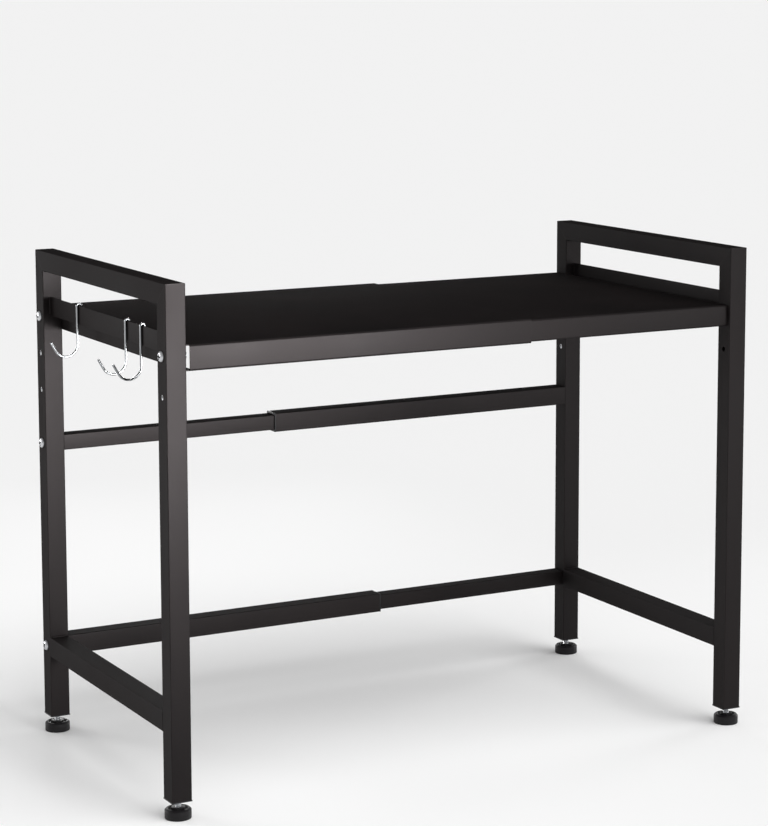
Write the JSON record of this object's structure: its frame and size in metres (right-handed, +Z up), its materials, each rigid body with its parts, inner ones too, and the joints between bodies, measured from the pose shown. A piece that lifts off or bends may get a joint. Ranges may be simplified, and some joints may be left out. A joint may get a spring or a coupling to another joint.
{
  "type": "microwave stand",
  "caption": "Width-extending countertop rack with a sheet-metal shelf above a microwave bay, levelling feet and wire hooks.",
  "frame": {"origin": "on the worktop, in the middle of the space that the rack takes with its hooks and screw heads", "axes": "+X from the left frame to the right frame, +Y from the front to the back, +Z up"},
  "size_m": [0.6626, 0.338, 0.497],
  "materials": {
    "black_steel": "fine matt powder coat",
    "zinc": "bright zinc plate",
    "chrome_wire": "polished chrome plate",
    "black_plastic": "moulded, satin",
    "foot_plastic": "moulded, fine texture"
  },
  "bodies": {
    "left_stand": {"left_front_post": "black_steel", "left_rear_post": "black_steel", "left_top_rail": "black_steel", "left_lower_rail": "black_steel", "left_guard_bar": "black_steel", "outer_tray": "black_steel", "mid_bar_slider": "black_steel", "mid_bar_slider_cap": "black_plastic", "lower_bar_sleeve": "black_steel", "lower_bar_bushing": "black_plastic", "left_bar_plugs": "zinc", "left_screws": "zinc", "left_post_plugs": "black_plastic"},
    "right_stand": {"right_front_post": "black_steel", "right_rear_post": "black_steel", "right_top_rail": "black_steel", "right_lower_rail": "black_steel", "right_guard_bar": "black_steel", "inner_tray": "black_steel", "mid_bar_sleeve": "black_steel", "mid_bar_bushing": "black_plastic", "lower_bar_slider": "black_steel", "lower_bar_slider_cap": "black_plastic", "right_bar_plugs": "zinc", "right_screws": "zinc", "right_post_plugs": "black_plastic"},
    "left_front_foot": {"left_front_foot_pad": "foot_plastic", "left_front_foot_stem": "zinc"},
    "left_rear_foot": {"left_rear_foot_pad": "foot_plastic", "left_rear_foot_stem": "zinc"},
    "right_front_foot": {"right_front_foot_pad": "foot_plastic", "right_front_foot_stem": "zinc"},
    "right_rear_foot": {"right_rear_foot_pad": "foot_plastic", "right_rear_foot_stem": "zinc"},
    "front_hook": {"front_hook": "chrome_wire"},
    "middle_hook": {"middle_hook": "chrome_wire"},
    "rear_hook": {"rear_hook": "chrome_wire"}
  },
  "joints": [
    {"name": "width_slide", "type": "slide", "parent": "left_stand", "child": "right_stand", "axis": [1, 0, 0], "range_m": [-0.23, 0.03]},
    {"name": "left_front_foot_screw", "type": "slide", "parent": "left_stand", "child": "left_front_foot", "axis": [0, 0, 1], "range_m": [-0.016, 0.006]},
    {"name": "left_rear_foot_screw", "type": "slide", "parent": "left_stand", "child": "left_rear_foot", "axis": [0, 0, 1], "range_m": [-0.016, 0.006]},
    {"name": "right_front_foot_screw", "type": "slide", "parent": "right_stand", "child": "right_front_foot", "axis": [0, 0, 1], "range_m": [-0.016, 0.006]},
    {"name": "right_rear_foot_screw", "type": "slide", "parent": "right_stand", "child": "right_rear_foot", "axis": [0, 0, 1], "range_m": [-0.016, 0.006]},
    {"name": "front_hook_slide", "type": "slide", "parent": "left_stand", "child": "front_hook", "axis": [0, 1, 0], "range_m": [-0.045, 0.015]},
    {"name": "middle_hook_slide", "type": "slide", "parent": "left_stand", "child": "middle_hook", "axis": [0, 1, 0], "range_m": [-0.014, 0.05]},
    {"name": "rear_hook_slide", "type": "slide", "parent": "left_stand", "child": "rear_hook", "axis": [0, 1, 0], "range_m": [-0.067, 0.069]}
  ]
}
